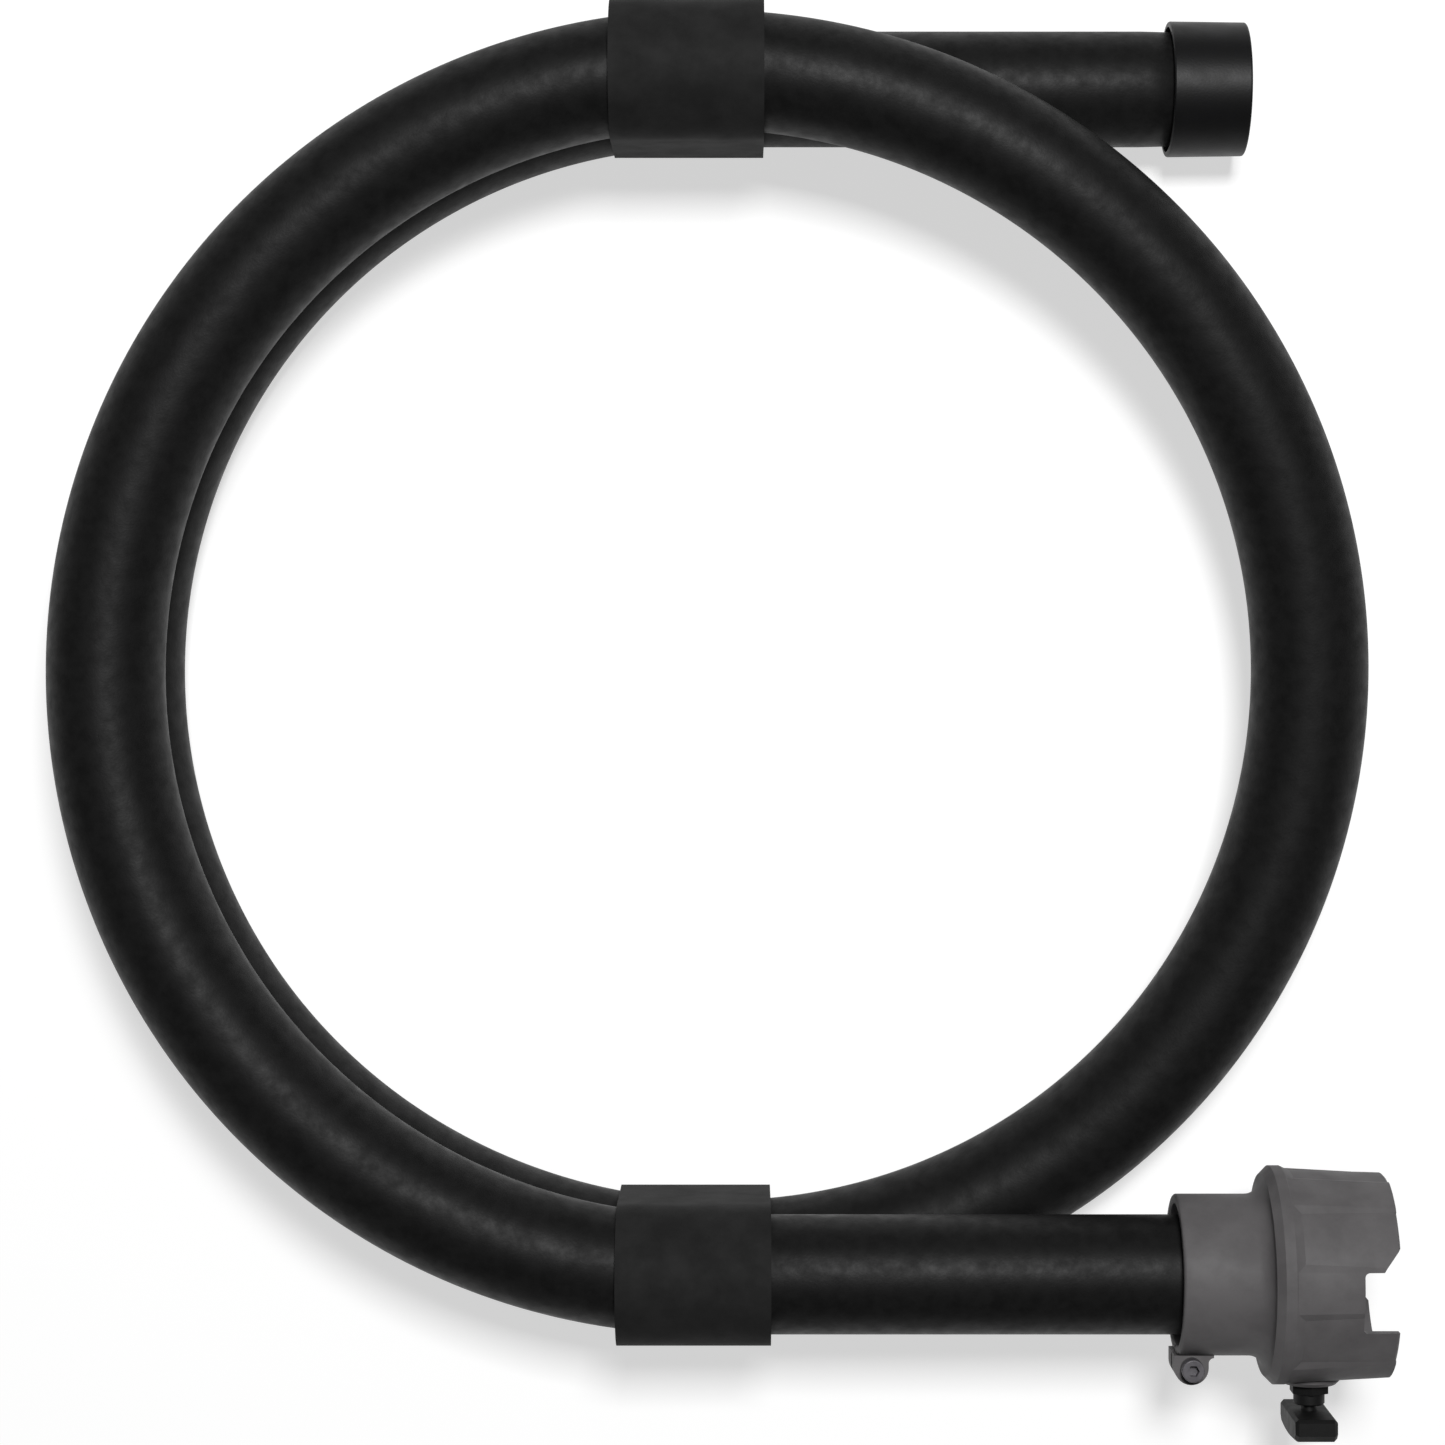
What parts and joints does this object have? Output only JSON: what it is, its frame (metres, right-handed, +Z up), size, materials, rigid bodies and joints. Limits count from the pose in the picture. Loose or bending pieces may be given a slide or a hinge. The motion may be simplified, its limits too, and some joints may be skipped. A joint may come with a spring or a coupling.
{
  "type": "vacuum hose",
  "caption": "Smooth black pool vacuum hose wound flat and strapped, with a bayonet coupler, thumb screw and pinch clamp at one end and a swivel cuff at the other.",
  "frame": {"origin": "on the plane the coil lies on, under the middle of the box round the fittings and straps", "axes": "+Z up, square to the lying coil; +X along both fittings, out of the coupler's mouth; +Y across the coil, from the coupler to the cuff"},
  "size_m": [0.509, 0.5488, 0.113],
  "materials": {
    "hose_rubber": "matte, smooth extruded",
    "strap": "matte, fine grain",
    "patch": "hook and loop",
    "grey_moulding": "fine moulded texture",
    "black_moulding": "satin moulded",
    "cuff_moulding": "satin, fine grain",
    "seal_rubber": "smooth",
    "steel": "plain",
    "painted_steel": "satin",
    "black_steel": "black oxide",
    "nylon": "natural nylon"
  },
  "bodies": {
    "hose_assembly": {"hose": "hose_rubber", "top_strap": "strap", "top_strap_loop": "patch", "top_strap_hook": "patch", "bottom_strap": "strap", "bottom_strap_loop": "patch", "bottom_strap_hook": "patch", "coupler_body": "grey_moulding", "clamp_bush": "seal_rubber", "mouth_seal": "seal_rubber", "tail_seal": "seal_rubber", "hose_tail": "black_moulding", "clamp_nut": "steel", "screw_bushing": "black_moulding", "cuff_ferrule": "black_moulding", "cuff_seal": "seal_rubber"},
    "swivel_cuff": {"end_cuff": "cuff_moulding", "cuff_liner": "cuff_moulding"},
    "clamp_carrier": {"clamp_washer": "steel"},
    "clamp_turn": {"clamp_screw": "painted_steel"},
    "thumb_carrier": {"thumb_pad": "nylon"},
    "thumb_turn": {"thumb_stud": "black_steel", "thumb_wing": "black_moulding"}
  },
  "joints": [
    {"name": "cuff_swivel", "type": "hinge", "parent": "hose_assembly", "child": "swivel_cuff", "pos_m": [0.07037, 0.24496, 0.02667], "axis": [1, 0, 0], "continuous": true},
    {"name": "clamp_travel", "type": "slide", "parent": "hose_assembly", "child": "clamp_carrier", "axis": [0, 0, 1], "range_m": [0, 0.0024]},
    {"name": "clamp_screw_turn", "type": "hinge", "parent": "clamp_carrier", "child": "clamp_turn", "pos_m": [0.07297, -0.24693, 0.08097], "axis": [0, 0, 1], "range_deg": [0, 1081]},
    {"name": "thumb_travel", "type": "slide", "parent": "hose_assembly", "child": "thumb_carrier", "axis": [0, 1, 0], "range_m": [-0.00301, 0.00151]},
    {"name": "thumb_screw_turn", "type": "hinge", "parent": "thumb_carrier", "child": "thumb_turn", "pos_m": [0.11878, -0.25804, 0.07197], "axis": [0, 1, 0], "range_deg": [-1080, 540]}
  ],
  "couplings": [
    {"joint": "clamp_screw_turn", "follows": "clamp_travel", "rad_per_m": 7854},
    {"joint": "thumb_travel", "follows": "thumb_screw_turn", "m_per_rad": 0.00015915}
  ]
}
